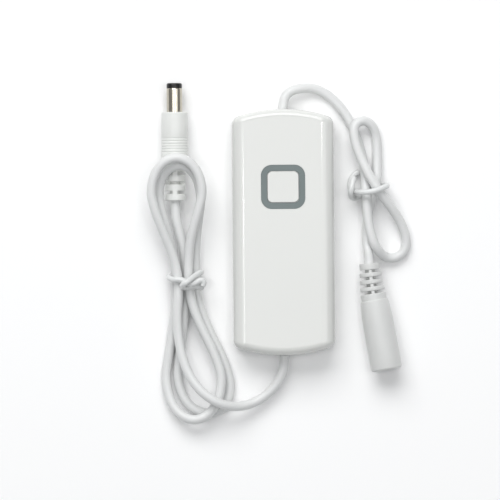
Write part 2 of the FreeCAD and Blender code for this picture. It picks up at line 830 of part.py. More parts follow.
swell_radius = "(socket_shoulder_radius + 3 * socket_mouth_radius) / 4"
grip = turned("grip", [
    ("0", "0"), ("socket_shoulder_radius - 0.3", "0"), ("socket_shoulder_radius", "0.3"),
    (swell_radius, "socket_swell"), ("socket_mouth_radius", "socket_full_width"),
    ("socket_mouth_radius", "socket_length - socket_edge"),
    ("socket_mouth_radius - 0.3 * socket_edge", "socket_length - 0.3 * socket_edge"),
    ("socket_mouth_radius - socket_edge", "socket_length"), ("insert_radius", "socket_length"),
    ("insert_radius", "socket_length - insert_length"), ("0", "socket_length - insert_length")])
bend = math.radians(size("socket_relief_bend"))
relief_bow = size("socket_relief_length") / bend


def along_relief(distance):
    """Place and tilt of the strain relief's bent axis, at a distance behind the shoulder."""
    turned_by = distance / relief_bow
    spot = Vector(relief_bow * (1 - math.cos(turned_by)), 0, -relief_bow * math.sin(turned_by))
    return Placement(spot, Rotation(Vector(0, 1, 0), -math.degrees(turned_by)))


def relief_disc(name, radius, start, length):
    """One rib: a disc with eased edges, from start to start + length behind the shoulder."""
    disc = doc.addObject("Part::Feature", name)
    sharp = Part.makeCylinder(radius, length, Vector(0, 0, -length / 2))
    rims = [edge for edge in sharp.Edges if edge.BoundBox.ZLength < 1e-3]
    disc.Shape = sharp.makeChamfer(size("relief_rib_edge"), rims)
    disc.Placement = along_relief(start + length / 2)
    return disc


relief_length = size("socket_relief_length")
collar_ring_length = size("collar_ring_length")
rib_count = int(size("relief_rib_count"))
rib_lengths = [size("relief_rib_length")] * (rib_count - 1) + [size("relief_end_ring_length")]
rib_gap = (relief_length - collar_ring_length - sum(rib_lengths)) / rib_count
spine = size("socket_spine")
grip_parts = [grip, relief_disc("collar_ring", size("collar_ring_radius"), -0.1, collar_ring_length + 0.1)]
rib_start = collar_ring_length
for rib, rib_length in enumerate(rib_lengths):
    share = rib / (rib_count - 1)
    radius = size("relief_first_rib") + share * (size("relief_last_rib") - size("relief_first_rib"))
    web = doc.addObject("Part::Feature", f"relief_web_{rib}")
    web.Shape = Part.makeBox(
        spine, 2 * radius - 0.8, rib_gap + 0.6, Vector(-spine / 2, 0.4 - radius, -rib_gap / 2 - 0.3))
    web.Placement = along_relief(rib_start + rib_gap / 2)
    rib_start += rib_gap
    rib_disc = relief_disc(f"relief_rib_{rib}", radius, rib_start, rib_length)
    rib_start += rib_length
    grip_parts += [web, rib_disc]
core_radius = size("cord_diameter") / 2 + size("core_cover")
core_line = [along_relief(relief_length * share).Base for share in (0, 0.5, 1)]
core = doc.addObject("Part::Feature", "relief_core")
core.Shape = Part.Wire(Part.Arc(*core_line).toShape()).makePipeShell(
    [Part.Wire(Part.Circle(Vector(), Vector(0, 0, 1), core_radius).toShape())], True, False)
grip_parts.append(core)
socket_at = ("socket_across", "socket_shoulder", "socket_mouth_radius", 90, size("socket_tilt"))
piece("socket_body", lie(join("socket_moulding", grip_parts), *socket_at))

insert_start = "socket_length - insert_length"
insert_end = "socket_length - insert_recess"
bore_start = f"{insert_end} - socket_bore_depth"
pin_root = "socket_pin_radius - socket_pin_step"
insert = turned("insert", [
    (pin_root, insert_start), ("insert_radius", insert_start), ("insert_radius", insert_end),
    ("socket_bore_radius + 0.2", insert_end), ("socket_bore_radius", f"{insert_end} - 0.2"),
    ("socket_bore_radius", bore_start), (pin_root, bore_start)])
spring_slot = block(
    "spring_slot", "spring_width + 0.1", "spring_thick + 1", "spring_length + 0.1", "0",
    "-(socket_bore_radius + spring_inset + spring_thick / 2 - 0.5)", bore_start)
piece("socket_insert", lie(carve("insert_slotted", insert, [spring_slot]), *socket_at))
spring = block(
    "spring", "spring_width", "spring_thick", "spring_length", "0",
    "-(socket_bore_radius + spring_inset - spring_thick / 2)", bore_start)
bump = block(
    "spring_bump", "spring_width", "spring_thick", "spring_bump", "0",
    "-(socket_bore_radius + spring_inset - spring_thick)", f"{bore_start} + spring_length * 0.6")
piece("socket_spring", lie(join("spring_leaf", [spring, bump]), *socket_at))
pin_end = f"{bore_start} + socket_pin_length"
centre_pin = turned("centre_pin", [
    ("0", insert_start), (pin_root, insert_start), (pin_root, bore_start),
    ("socket_pin_radius", bore_start), ("socket_pin_radius", f"{pin_end} - 0.5"),
    ("socket_pin_radius - 0.4", pin_end), ("0", pin_end)])
piece("socket_pin", lie(centre_pin, *socket_at))


# Cords: routes lie on the floor, in millimetres, and follow the photographed curves

cord_radius = size("cord_diameter") / 2
seam = size("seam_height")


def arc_through(start, corner, end):
    """The arc that leaves start and reaches end along the two sides of corner."""
    foot = (start + end) * 0.5
    rise = corner - foot
    half = (end - start).Length / 2
    if rise.Length < 1e-4 * half:
        return Part.LineSegment(start, end).toShape()
    turn = math.atan2(rise.Length, half)
    top = foot + rise * (math.tan(turn / 2) / math.tan(turn))
    return Part.Arc(start, top, end).toShape()


def rounded_runs(name, route):
    """Straight runs joined by arcs as large as the runs allow."""
    corners = [Vector(*point) for point in route]
    edges = []
    radii = []
    here = corners[0]
    for before, corner_point, after in zip(corners, corners[1:], corners[2:]):
        back = before - corner_point
        onward = after - corner_point
        half_turn = (math.pi - back.getAngle(onward)) / 2
        radius = 0.45 * min(back.Length, onward.Length) / math.tan(half_turn)
        radii.append(round(radius, 1))
        cut = radius * math.tan(half_turn)
        start = corner_point + back.normalize() * cut
        end = corner_point + onward.normalize() * cut
        edges.append(Part.LineSegment(here, start).toShape())
        edges.append(arc_through(start, corner_point, end))
        here = end
    edges.append(Part.LineSegment(here, corners[-1]).toShape())
    print(name, "radii", radii)
    return Part.Wire(edges)


def biarcs(stations):
    """Two tangent arcs from each station, a point and the way through it, to the next."""
    edges = []
    for (start, start_way), (end, end_way) in zip(stations, stations[1:]):
        chord = end - start
        if chord.getAngle(start_way) < 1e-6 and start_way.getAngle(end_way) < 1e-6:
            edges.append(Part.LineSegment(start, end).toShape())
            continue
        spread = 2 * (1 - start_way.dot(end_way))
        if spread < 1e-9:
            reach = chord.dot(chord) / (4 * chord.dot(end_way))
        else:
            along = chord.dot(start_way + end_way)
            reach = (math.sqrt(along ** 2 + spread * chord.dot(chord)) - along) / spread
        first = start + start_way * reach
        second = end - end_way * reach
        middle = (first + second) * 0.5
        edges.append(arc_through(start, first, middle))
        edges.append(arc_through(middle, second, end))
    return Part.Wire(edges)


def tube(node, path, diameter):
    """A round tube along a path, checked against its section times its length."""
    start = path.Edges[0]
    way = start.tangentAt(start.FirstParameter)
    ring = Part.Wire(Part.Circle(start.valueAt(start.FirstParameter), way, diameter / 2).toShape())
    solid = path.makePipeShell([ring], True, False)
    share = solid.Volume / (math.pi * diameter ** 2 / 4 * path.Length)
    print(node, "length", round(path.Length, 1), "volume share", round(share, 4))
    item = doc.addObject("Part::Feature", f"{node}_tube")
    item.Shape = solid
    return piece(node, item)


def least_gap(node, path, diameter):
    """Print the least gap of a wound tube to itself, measured on points along it."""
    step = diameter / 8
    count = int(path.Length / step)
    points = path.discretize(Number=count)
    skip = int(3 * diameter / step)
    least = min((points[i] - points[j]).Length for i in range(count) for j in range(i + skip, count))
    print(node, "least gap to itself", round(least - diameter, 2))


up, down = Vector(0, 1, 0), Vector(0, -1, 0)
left, right = Vector(-1, 0, 0), Vector(1, 0, 0)


def lobe(first, tip, second, outward, across):
    """Three stations of one end of a loop: out along one side, round the tip, back along the other."""
    return [(Vector(*first), outward), (Vector(*tip), across), (Vector(*second), outward * -1)]


def hank_stations():
    """Turns of the hank, pinched at the tie: each later turn lies wider there and a layer lower."""
    step, layer, low = size("hank_step"), size("hank_layer"), size("hank_low")
    straight = size("cord_diameter")
    turns = int(size("hank_turns"))
    reach = 11.5
    stations = []
    for turn in range(turns):
        side = step * (1 + turn) / 2
        level = low + layer * (turns - 1 - turn)
        if turn == 0:
            stations.append((Vector(-side, -straight, level), up))
        stations.append((Vector(-side, 0, level), up))
        far_tip = 43.4 - 3.6 * turn
        far_left = 3 * turn - 12.4
        far_right = 6.6 - 1.7 * turn
        rise = 12.3 - 5.2 * turn
        over = 13.9 - 2.7 * turn
        stations += lobe(
            (far_left, far_tip - reach, rise), ((far_left + far_right) / 2, far_tip, over),
            (far_right, far_tip - reach, rise), up, right)
        stations.append((Vector(side, 0, level), down))
        near_tip = 2.9 * turn - 48.6
        near_left = 4.6 * turn - 7.9
        near_right = 11.9 + 3.7 * turn
        out = 5.5 - 3.85 * turn
        under = 5.3 - 3.65 * turn
        stations += lobe(
            (near_right, near_tip + reach, out), ((near_left + near_right) / 2, near_tip, under),
            (near_left, near_tip + reach, cord_radius), down, left)
    stations.append((Vector(0, 0, low), up))
    stations.append((Vector(0, straight, low), up))
    centre = Vector(size("hank_across"), size("hank_along"), 0)
    return [(point + centre, way) for point, way in stations]


def loop_stations():
    """One loose figure of eight: down and round the near lobe, back through the tie, round the far lobe."""
    straight = size("cord_diameter")
    side, low, high = 1.95, 3.75, 7.75
    slant = Vector(-0.52, 0.854, 0).normalize()
    stations = [(Vector(-side, straight, low), down), (Vector(-side, 0, low), down)]
    stations.append((Vector(0.6, -15.5, 7), Vector(0.38, -0.925, 0).normalize()))
    stations.append((Vector(7.6, -23.3, cord_radius), right))
    stations.append((Vector(12.4, -17.6, 2.3), up))
    stations.append((Vector(0.5, 0.3, high), slant))
    stations += lobe((-5.2, 19.2, 6), (-1.6, 24.3, 4.2), (2.5, 16.5, cord_radius), up, right)
    stations += [(Vector(side, 0, low), down), (Vector(side, -straight, low), down)]
    centre = Vector(size("loop_across"), size("loop_along"), 0)
    return [(point + centre, way) for point, way in stations]


hank = hank_stations()
hank_path = biarcs(hank)
tube("input_cord_hank", hank_path, size("cord_diameter"))
least_gap("input_cord_hank", hank_path, size("cord_diameter"))
cord_start = size("case_length") / 2 - size("collar_inset")
cord_outside = cord_start + 5
input_lead = [
    (0, -cord_start, seam), (0, -cord_outside, seam), (-0.4, -49, 4.6), (-3.3, -54.2, 3.7),
    (-8.6, -58.8, 3), (-15.4, -61.2, 5.2), (-22, -60.3, 9.3), (-28.4, -56.6, 9.4),
    (-33.2, -50.6, 7.8), (-36, -43.2, 6.7), (-37.2, -35.6, 6.5), (-37.3, -28.6, 6.95),
    (-35.84, -23.9, 7.25), tuple(hank[0][0])]
tube("input_cord_lead", rounded_runs("input_cord_lead", input_lead), size("cord_diameter"))
plug_height = size("plug_radius")
plug_cord_end = size("plug_shoulder") - size("plug_relief_length")
input_tail = [
    tuple(hank[-1][0]), (-33.89, -9.6, 3.75), (-34.9, -4.6, 3.9), (-36.6, 1.2, 4.3),
    (size("plug_across"), plug_cord_end - 5.2, plug_height),
    (size("plug_across"), plug_cord_end, plug_height)]
tube("input_cord_tail", rounded_runs("input_cord_tail", input_tail), size("cord_diameter"))

loop = loop_stations()
loop_path = biarcs(loop)
tube("output_cord_loop", loop_path, size("cord_diameter"))
least_gap("output_cord_loop", loop_path, size("cord_diameter"))
output_lead = [
    (0, cord_start, seam), (0, cord_outside, seam), (1.3, 48.6, 4.6), (5.8, 50.4, 3.6), (10.9, 50.5, 2.3),
    (15.6, 48.4, 1.65), (20.1, 44.2, 1.65), (23.6, 38.8, 1.65), (26.1, 33, 1.65), (27.8, 27, 2.1),
    (28.75, 21.6, 3.75), tuple(loop[0][0])]
tube("output_cord_lead", rounded_runs("output_cord_lead", output_lead), size("cord_diameter"))
socket_frame = lying(
    size("socket_across"), size("socket_shoulder"), 90, size("socket_tilt"))
socket_frame.Base.z = size("socket_mouth_radius")
relief_end = socket_frame.multiply(along_relief(relief_length + 0.1))
relief_way = relief_end.Rotation.multVec(Vector(0, 0, -1))
socket_cord_end = relief_end.Base
socket_cord_bend = socket_cord_end + relief_way * 3.9
output_tail = [
    tuple(loop[-1][0]), (32.65, 7.9, 3.75), (31.3, 3.2, 2.2), (30, -2.2, 2.9), tuple(socket_cord_bend),
    tuple(socket_cord_end)]
tube("output_cord_tail", rounded_runs("output_cord_tail", output_tail), size("cord_diameter"))


# What the case grips: a moulded collar on each cord, and the two insulated wires inside each jacket

for cord_name, sign in (("input", "-"), ("output", "")):
    start = f"-({collar_start} + collar_length)" if sign else collar_start
    collar = rod(f"{cord_name}_collar_round", "collar_radius", "collar_length", "0", start, "seam_height")
    bore = rod(
        f"{cord_name}_collar_bore", "cord_diameter / 2 + 0.02", "3 * collar_length", "0",
        f"{start} - collar_length", "seam_height")
    piece(f"{cord_name}_cord_collar", carve(f"{cord_name}_collar", collar, [bore]))

pad_level = size("wall") + size("post_height") + size("board_thick") + size("core_diameter") / 2 + 0.1
solder = []
for cord_name, sign in (("input", -1), ("output", 1)):
    for pole, side in (("positive", 1), ("negative", -1)):
        half_gap = side * size("core_spread") / 2
        half_pad = side * size("pad_spread") / 2
        jacket = sign * cord_start
        pad = sign * (size("board_length") / 2 - size("pad_inset"))
        route = [
            (half_gap, jacket, seam), (half_gap, jacket - sign * 1.3, seam),
            (half_pad, pad + sign * 2.9, pad_level), (half_pad, pad, pad_level)]
        path = rounded_runs(f"{cord_name}_{pole}_core", route)
        core = tube(f"{cord_name}_{pole}_core", path, size("core_diameter"))
        dab = doc.addObject("Part::Cone", f"{cord_name}_{pole}_dab")
        bind(dab, "Radius1", "solder_radius")
        bind(dab, "Radius2", "solder_radius * 0.55")
        bind(dab, "Height", "solder_height")
        place(dab, f"{side} * pad_spread / 2", f"{sign} * {pad_place}", board_top)
        solder.append(carve(f"{cord_name}_{pole}_joint", dab, [core]))
piece("solder_joints", group("solder_set", solder))


# Ties: coated wire bent round the waist of each cord, its ends twisted together or left to curl

wire = size("tie_diameter")
clear = cord_radius + size("tie_gap") + wire / 2


def tie(node, across, along, points):
    """One length of tie wire along points given from the middle of the waist."""
    route = [(across + x, along + y, z) for x, y, z in points]
    tube(node, rounded_runs(node, route), wire)


tie_side = size("hank_step") + clear
tie_top = size("hank_low") + size("hank_layer") + clear
ground = wire / 2
tie("input_twist_tie", size("hank_across"), size("hank_along"), [
    (5.7, -3.4, tie_top - 0.4), (6.1, -1.3, tie_top - 0.1), (4.5, 0.1, tie_top + 0.3),
    (2.4, -0.9, tie_top + 0.5), (-0.2, 0.4, tie_top + 0.2), (-3.4, 0.9, tie_top - 0.1),
    (0.1 - tie_side, 1, 5.4), (0.1 - tie_side, 1.2, 1.2), (-2.6, 1.5, ground), (2.6, 2, ground),
    (tie_side - 0.1, 2.4, 1.2), (tie_side - 0.1, 2.7, 5.4), (3.7, 2.9, tie_top - 0.1),
    (1.4, 1.9, tie_top + 0.9), (-0.4, -0.2, tie_top + 1.8), (0.6, -1.8, tie_top + 0.9),
    (3.1, -2.2, tie_top - 0.1), (5.3, -2.9, tie_top - 1.6)])
tie("output_twist_tie", size("loop_across"), size("loop_along"), [
    (-4.3, 6.4, 1), (-6.6, 4.9, 0.9), (-7.9, 2.6, 0.9), (-7.3, 0, 1.6), (-5.4, -0.5, 5.4),
    (-3.2, -0.4, tie_top + 0.3), (2, 0.2, tie_top + 0.8), (5, 1.2, 7.6), (5.6, 1.7, 3.6),
    (4.4, 1.9, ground), (0.6, 0.6, ground), (-3, -1.5, ground), (-5.2, -2.7, 1.7),
    (-6.3, -1.6, 3.6), (-6.4, 0.8, 4.3), (-6, 3, 4), (-5.6, 4.6, 3.4)])


# Check every object, then write one file for each sub-part

doc.recompute()
for item in doc.Objects:
    if "Invalid" in item.State or "Error" in item.State:
        raise SystemExit(f"{item.Label} failed: {item.State}")
for item in pieces:
    if item.Shape.isNull() or not item.Shape.isValid():
        raise SystemExit(f"{item.Label} has no valid shape")
os.makedirs("parts", exist_ok=True)
for item in pieces:
    item.Shape.exportStep(f"parts/{item.Label}.step")
print(len(pieces), "sub-parts written")
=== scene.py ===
import math

import bpy
from mathutils import Matrix, Vector


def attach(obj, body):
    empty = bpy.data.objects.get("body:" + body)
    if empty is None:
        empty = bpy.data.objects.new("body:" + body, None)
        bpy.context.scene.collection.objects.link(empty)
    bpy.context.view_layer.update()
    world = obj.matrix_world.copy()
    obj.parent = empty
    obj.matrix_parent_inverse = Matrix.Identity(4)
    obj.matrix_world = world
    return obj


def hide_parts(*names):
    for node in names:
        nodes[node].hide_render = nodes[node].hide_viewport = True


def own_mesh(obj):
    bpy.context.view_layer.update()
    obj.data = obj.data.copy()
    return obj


# Receiver for a light strip: a white snap-together case with one framed push button, an input cord
# with a barrel plug, tied in a hank, and an output cord with a barrel socket, tied in a loop.
# It lies on its back on a white table. Points and sizes of its pieces are in millimetres, and MM
# turns them to the scene's metres.

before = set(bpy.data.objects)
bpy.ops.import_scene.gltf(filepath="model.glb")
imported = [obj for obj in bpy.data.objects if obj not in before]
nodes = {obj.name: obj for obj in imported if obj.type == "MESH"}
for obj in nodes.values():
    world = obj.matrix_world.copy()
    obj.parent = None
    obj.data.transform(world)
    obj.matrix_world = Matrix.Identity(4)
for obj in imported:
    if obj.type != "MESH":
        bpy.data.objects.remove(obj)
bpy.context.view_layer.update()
MM = 0.001

# Camera: straight above the table and far away, so that the sides of the case stay hidden.
# The photo's 500 pixels span 175 mm at the height of the cords, and it leans by half a degree.
photo_span = 175 * MM
camera_height = 2400 * MM
cord_level = 7 * MM
photo_centre = Vector((-11.75, -6.14, 0)) * MM
lean = math.radians(-0.51)

camera_data = bpy.data.cameras.new("overhead_camera")
camera_data.sensor_width = 36
camera_data.lens = camera_data.sensor_width * camera_height / photo_span
camera = bpy.data.objects.new("overhead_camera", camera_data)
camera.location = photo_centre + Vector((0, 0, camera_height + cord_level))
camera.rotation_euler = (0, 0, lean)
bpy.context.scene.collection.objects.link(camera)
bpy.context.scene.camera = camera
bpy.context.scene.view_settings.view_transform = "Standard"


# Input cord: a round pair in a white PVC jacket, 3.3 mm thick, out of the near end of the case.
# It is folded into a hank of two turns, pinched at the tie, and runs on to the barrel plug.
cord_diameter = 3.3 * MM
cord_smoothness = 8
hank_waist = Vector((-33.89, -16.8, 0))
input_lead = [
    (0, -38.9, 5), (0, -43.9, 5), (-0.4, -49, 4.6), (-3.3, -54.2, 3.7), (-8.6, -58.8, 3),
    (-15.4, -61.2, 5.2), (-22, -60.3, 9.3), (-28.4, -56.6, 9.4), (-33.2, -50.6, 7.8),
    (-36, -43.2, 6.7), (-37.2, -35.6, 6.5), (-37.5, -28.6, 6.95), (-37, -23.9, 7.25)]
input_tail = [
    (-34.4, -9.6, 3.75), (-35, -4.6, 3.9), (-36.6, 1.2, 4.3), (-37.77, 6.2, 4.68),
    (-37.77, 12, 4.68)]

# Where the strands cross the tie, across and up, and the four ends of the two turns, each with its
# first side, its tip, its second side, and how late each side bends away from the waist. A tip is
# its shift sideways, its place along and its height.
strands = [(-2.9, 7.25), (0.5, 7.25), (-3.85, 3.75), (2.85, 3.75), (-0.5, 3.75)]
straight_at_tie = 3.3
lobes = [
    ((-12.2, 31.8, 12.3), (0, 43.4, 13.9), (5.6, 31.8, 12.3), (1, 2.3)),
    ((11.8, -35, 5.5), (0, -49, 5.3), (-7.6, -35, 1.65), (1.2, 1.4)),
    ((-9.6, 31, 7.1), (0, 40.8, 11.2), (5, 30, 7.1), (1.3, 2.3)),
    ((14.8, -37, 1.65), (1.6, -46.7, 1.65), (-3.4, -35.5, 1.65), (1.2, 1.25))]

# A line cuts inside its control points, so those of a tip lie a little wider apart and further out
side_shares = (0.25, 0.5, 0.75)
tip_steps = 4
tip_widening = 1.06
tip_stretch = 1.05


def bowed_side(strand, side, delay, share):
    """A point on the way from the tie to where the lobe is widest."""
    ease = share * share * (3 - 2 * share)
    across = strand[0] + (side[0] - strand[0]) * ease ** delay
    return (across, side[1] * share, strand[1] + (side[2] - strand[1]) * ease)


def lobe_of_cord(leaving, first, tip, second, delays, arriving):
    """One end of a turn: out along its first side, round the tip in half an ellipse, and back."""
    points = [bowed_side(leaving, first, delays[0], share) for share in side_shares]
    middle = (first[0] + second[0]) / 2
    half_width = (second[0] - first[0]) / 2
    for step in range(tip_steps + 1):
        swing = math.pi * step / tip_steps
        share = (1 - math.cos(swing)) / 2
        along = first[1] + (second[1] - first[1]) * share
        level = first[2] + (second[2] - first[2]) * share
        points.append((
            middle - tip_widening * half_width * math.cos(swing) + tip[0] * math.sin(swing) ** 2,
            along + tip_stretch * (tip[1] - along) * math.sin(swing),
            level + (tip[2] - level) * math.sin(swing) ** 2))
    points += [bowed_side(arriving, second, delays[1], share) for share in side_shares[::-1]]
    return points


hank = [(strands[0][0], -straight_at_tie, strands[0][1])]
for leaving, arriving, (first, tip, second, delays) in zip(strands, strands[1:], lobes):
    hank.append((leaving[0], 0, leaving[1]))
    hank += lobe_of_cord(leaving, first, tip, second, delays, arriving)
hank += [(strands[-1][0], 0, strands[-1][1]), (strands[-1][0], straight_at_tie, strands[-1][1])]
hank = [hank_waist + Vector(point) for point in hank]


def round_cord(name, route, diameter, smoothness):
    """A tube round one smooth line whose control points are the route, in millimetres."""
    curve = bpy.data.curves.new(name, "CURVE")
    curve.dimensions = "3D"
    line = curve.splines.new("NURBS")
    line.points.add(len(route) - 1)
    for point, spot in zip(line.points, route):
        point.co = (*(Vector(spot) * MM), 1)
    line.order_u = 3
    line.use_endpoint_u = True
    line.resolution_u = smoothness
    curve.resolution_u = smoothness
    curve.bevel_depth = diameter / 2
    curve.bevel_resolution = 6
    curve.use_fill_caps = True
    cord = bpy.data.objects.new(name, curve)
    bpy.context.scene.collection.objects.link(cord)
    return cord


def colour(code):
    """An sRGB hex colour, turned to the linear values that a shader takes."""
    parts = [int(code[i:i + 2], 16) / 255 for i in (1, 3, 5)]
    linear = [
        part / 12.92 if part <= 0.04045 else ((part + 0.055) / 1.055) ** 2.4 for part in parts]
    return (*linear, 1)


def add_node(material, kind, inputs=None, **settings):
    """Add one node: settings are its own options, inputs the values or links of its sockets."""
    node = material.node_tree.nodes.new(kind)
    for option, value in settings.items():
        setattr(node, option, value)
    for socket, value in (inputs or {}).items():
        if isinstance(value, bpy.types.NodeSocket):
            material.node_tree.links.new(value, node.inputs[socket])
        else:
            node.inputs[socket].default_value = value
    return node


# The colour sockets of a mix node share their names with others, so they go by number
FACTOR, FIRST, SECOND, MIXED = 0, 6, 7, 2


def blank_material(name):
    material = bpy.data.materials.new(name)
    material.use_nodes = True
    material.node_tree.nodes.clear()
    return material


def moulded(name, pale, deep, gloss, index, mottle_mm, grain_mm, grain_depth_mm):
    """A moulded or extruded plastic: cloudy between two near colours, with a fine skin of its own.

    gloss is its least and most roughness, mottle_mm the size of the clouds, grain_mm that of the
    skin's relief.
    """
    material = blank_material(name)
    place = add_node(material, "ShaderNodeTexCoord").outputs["Object"]
    cloud = add_node(
        material, "ShaderNodeTexNoise",
        {"Vector": place, "Scale": 1 / (mottle_mm * MM), "Detail": 3, "Roughness": 0.5})
    tint = add_node(
        material, "ShaderNodeMix",
        {FACTOR: cloud.outputs["Fac"], FIRST: colour(pale), SECOND: colour(deep)}, data_type="RGBA")
    skin = add_node(
        material, "ShaderNodeTexNoise",
        {"Vector": place, "Scale": 1 / (grain_mm * MM), "Detail": 2, "Roughness": 0.5})
    sheen = add_node(
        material, "ShaderNodeMapRange",
        {"Value": cloud.outputs["Fac"], "To Min": gloss[0], "To Max": gloss[1]})
    bump = add_node(
        material, "ShaderNodeBump",
        {"Height": skin.outputs["Fac"], "Strength": 1, "Distance": grain_depth_mm * MM})
    shader = add_node(
        material, "ShaderNodeBsdfPrincipled",
        {"Base Color": tint.outputs[MIXED], "Roughness": sheen.outputs["Result"],
         "Normal": bump.outputs["Normal"], "IOR": index})
    add_node(material, "ShaderNodeOutputMaterial", {"Surface": shader.outputs["BSDF"]})
    return material


# Soft PVC jacket: satin, a little cooler than the case, with faint waves from the extruder
cord_jacket = moulded(
    "extruded_pvc_jacket", pale="#E0E1E0", deep="#DADBDB", gloss=(0.34, 0.42), index=1.53,
    mottle_mm=14, grain_mm=2.2, grain_depth_mm=0.006)
input_cord = round_cord(
    "input_cord", [*input_lead, *hank, *input_tail], cord_diameter, cord_smoothness)
input_cord.data.materials.append(cord_jacket)
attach(input_cord, "case")
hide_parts("input_cord_lead", "input_cord_hank", "input_cord_tail")


# Output cord: the same pair, shorter, out of the far end of the case. It runs down beside itself in
# one loose figure of eight, tied where it crosses, and on to the barrel socket.
output_lead = [
    (0, 38.9, 5), (0, 43.9, 5), (1.3, 48.6, 4.6), (5.8, 50.4, 3.6), (10.9, 50.5, 2.3),
    (15.6, 48.4, 1.65), (20.1, 44.2, 1.65), (23.6, 38.8, 1.65), (26.1, 33, 1.65), (27.8, 27, 2.1),
    (28.75, 21.6, 3.75)]
output_loop = [
    (28.8, 17.5, 3.75), (29, 14, 5.4), (29.15, 10.4, 6.8), (29.6, 4.2, 7), (30.5, -1, 7.2),
    (32.3, -5.8, 6.9), (35.2, -9, 2.9), (38.8, -9.6, 1.75), (42.2, -7.6, 1.65), (43.4, -3.4, 1.75),
    (41.4, 2.8, 2.9), (38, 8.2, 5.2), (34.6, 12.6, 7.3), (32.2, 16.2, 7.75), (29.9, 20.2, 7.6),
    (27.6, 25, 6.6), (25.8, 29.8, 6), (24.9, 34, 5.6), (25.3, 37.7, 5), (28.6, 39.2, 4.2),
    (31.7, 37, 3), (32.9, 33.2, 1.75), (33.2, 28, 1.65), (33.1, 22.6, 2.2), (32.9, 18, 3.45),
    (32, 14.4, 3.75), (31, 11.2, 3)]
output_tail = [
    (30.1, 7.4, 2.2), (29.4, 3.4, 2), (29.1, -0.6, 2.3), (29.25, -4, 3.4), (29.756, -7.24, 5.45),
    (30.03, -11.6, 5.45)]

output_cord = round_cord(
    "output_cord", [*output_lead, *output_loop, *output_tail], cord_diameter, cord_smoothness)
output_cord.data.materials.append(cord_jacket)
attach(output_cord, "case")
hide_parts("output_cord_lead", "output_cord_loop", "output_cord_tail")


# Twist ties: steel wire in a round white PVC coating, 2 mm thick, bent round each waist by hand.
# The input cord's tie presses a little into the soft cord and ends in a twist; the other is loose.
tie_diameter = 2 * MM
tie_smoothness = 12
input_tie_route = [
    (5.5, -1.7, 10), (5.9, -0.8, 10.1), (5.6, 0, 10.3), (4.7, 0.35, 10.5), (3.8, -0.1, 10.8),
    (2.9, -0.65, 11.2), (1.8, -1.05, 11.65), (0.7, -1.05, 11.65), (-0.6, -0.1, 10.8),
    (-2, 0.5, 10.2), (-3.3, 0.6, 10.1), (-4.6, 0.5, 9.7), (-5.9, 0.9, 8.3), (-6.3, 1.4, 5.3),
    (-5.9, 1.8, 1.15), (-2.6, 1.8, 1), (2.2, 2.4, 1), (4.8, 2.9, 1.5), (5.2, 3.2, 5),
    (4.1, 2.8, 8.4), (3.1, 2, 10.2), (2.1, 1.3, 11.5), (1.1, 0.5, 13.1), (0, -0.2, 14.1),
    (-1.1, -1, 13.9), (-1.8, -1.75, 12.1), (-0.9, -2.3, 10), (0, -2.2, 9.8), (1.1, -2.1, 9.8),
    (2.4, -2, 9.4), (3.6, -1.7, 8.8), (4.6, -1.9, 8.2), (5.6, -2.5, 7.8)]
loop_waist = Vector((30.7, 14.2, 0))
output_tie_route = [
    (-4, 6.8, 1), (-6, 5.6, 1.05), (-7.1, 3.5, 1.3), (-7.2, 1.4, 1.8), (-6.4, 0.1, 3),
    (-5.2, -0.4, 5.4), (-4.6, -0.5, 8.6), (-3, -0.5, 10.7), (-0.2, -0.4, 11.1), (2.6, 0.3, 10.7),
    (4.6, 1.2, 9.8), (5.8, 1.7, 7.8), (5.4, 2, 4), (4, 1.7, 1), (0.6, 0.4, 1), (-3, -1.5, 1),
    (-4.8, -2.3, 1.35), (-6.5, -2.5, 4), (-7.1, -1.2, 7.2), (-6.8, 0.8, 8.1), (-6.4, 2.8, 7.3),
    (-5.8, 4.6, 6.2)]

# Thin PVC drawn over wire: glossier than the cord, with small dents where fingers bent it
tie_coating = moulded(
    "wire_coating_pvc", pale="#E2E3E2", deep="#D9DBDB", gloss=(0.25, 0.36), index=1.53,
    mottle_mm=6, grain_mm=1.6, grain_depth_mm=0.012)
for name, waist, tie_route in (
        ("input_twist_tie_wire", hank_waist, input_tie_route),
        ("output_twist_tie_wire", loop_waist, output_tie_route)):
    tie = round_cord(
        name, [waist + Vector(point) for point in tie_route], tie_diameter, tie_smoothness)
    tie.data.materials.append(tie_coating)
    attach(tie, "case")
    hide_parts(name.removesuffix("_wire"))


# Case: a deep front shell snapped on a shallow back shell, both moulded in glossy white ABS.
# The mould was polished: the skin is shiny, with a slow unevenness that bends its reflections.
case_plastic = moulded(
    "glossy_moulded_abs", pale="#DFE0DD", deep="#DBDCD9", gloss=(0.07, 0.1), index=1.54,
    mottle_mm=45, grain_mm=9, grain_depth_mm=0.004)


def finish_node(node, material):
    """Give a piece of the frame its material."""
    nodes[node].data.materials.clear()
    nodes[node].data.materials.append(material)


for node in ("top_cover", "bottom_cover"):
    finish_node(node, case_plastic)


# Button frame: a square ring of grey ABS, pressed into the front shell until it is flush.
# Its mould was spark-eroded, which gives it a fine, satin skin.
frame_plastic = moulded(
    "satin_grey_abs", pale="#717C7C", deep="#6A7575", gloss=(0.38, 0.46), index=1.54,
    mottle_mm=12, grain_mm=0.35, grain_depth_mm=0.006)
finish_node("button_frame", frame_plastic)


# Push button: a square cap of the case's own glossy white ABS, flush with the frame round it.
# Its flange is caught under the frame, and its stem stands on the switch's plunger.
button_plastic = moulded(
    "glossy_button_abs", pale="#DFE0DD", deep="#DADBD8", gloss=(0.08, 0.12), index=1.54,
    mottle_mm=14, grain_mm=6, grain_depth_mm=0.003)
finish_node("button_cap", button_plastic)


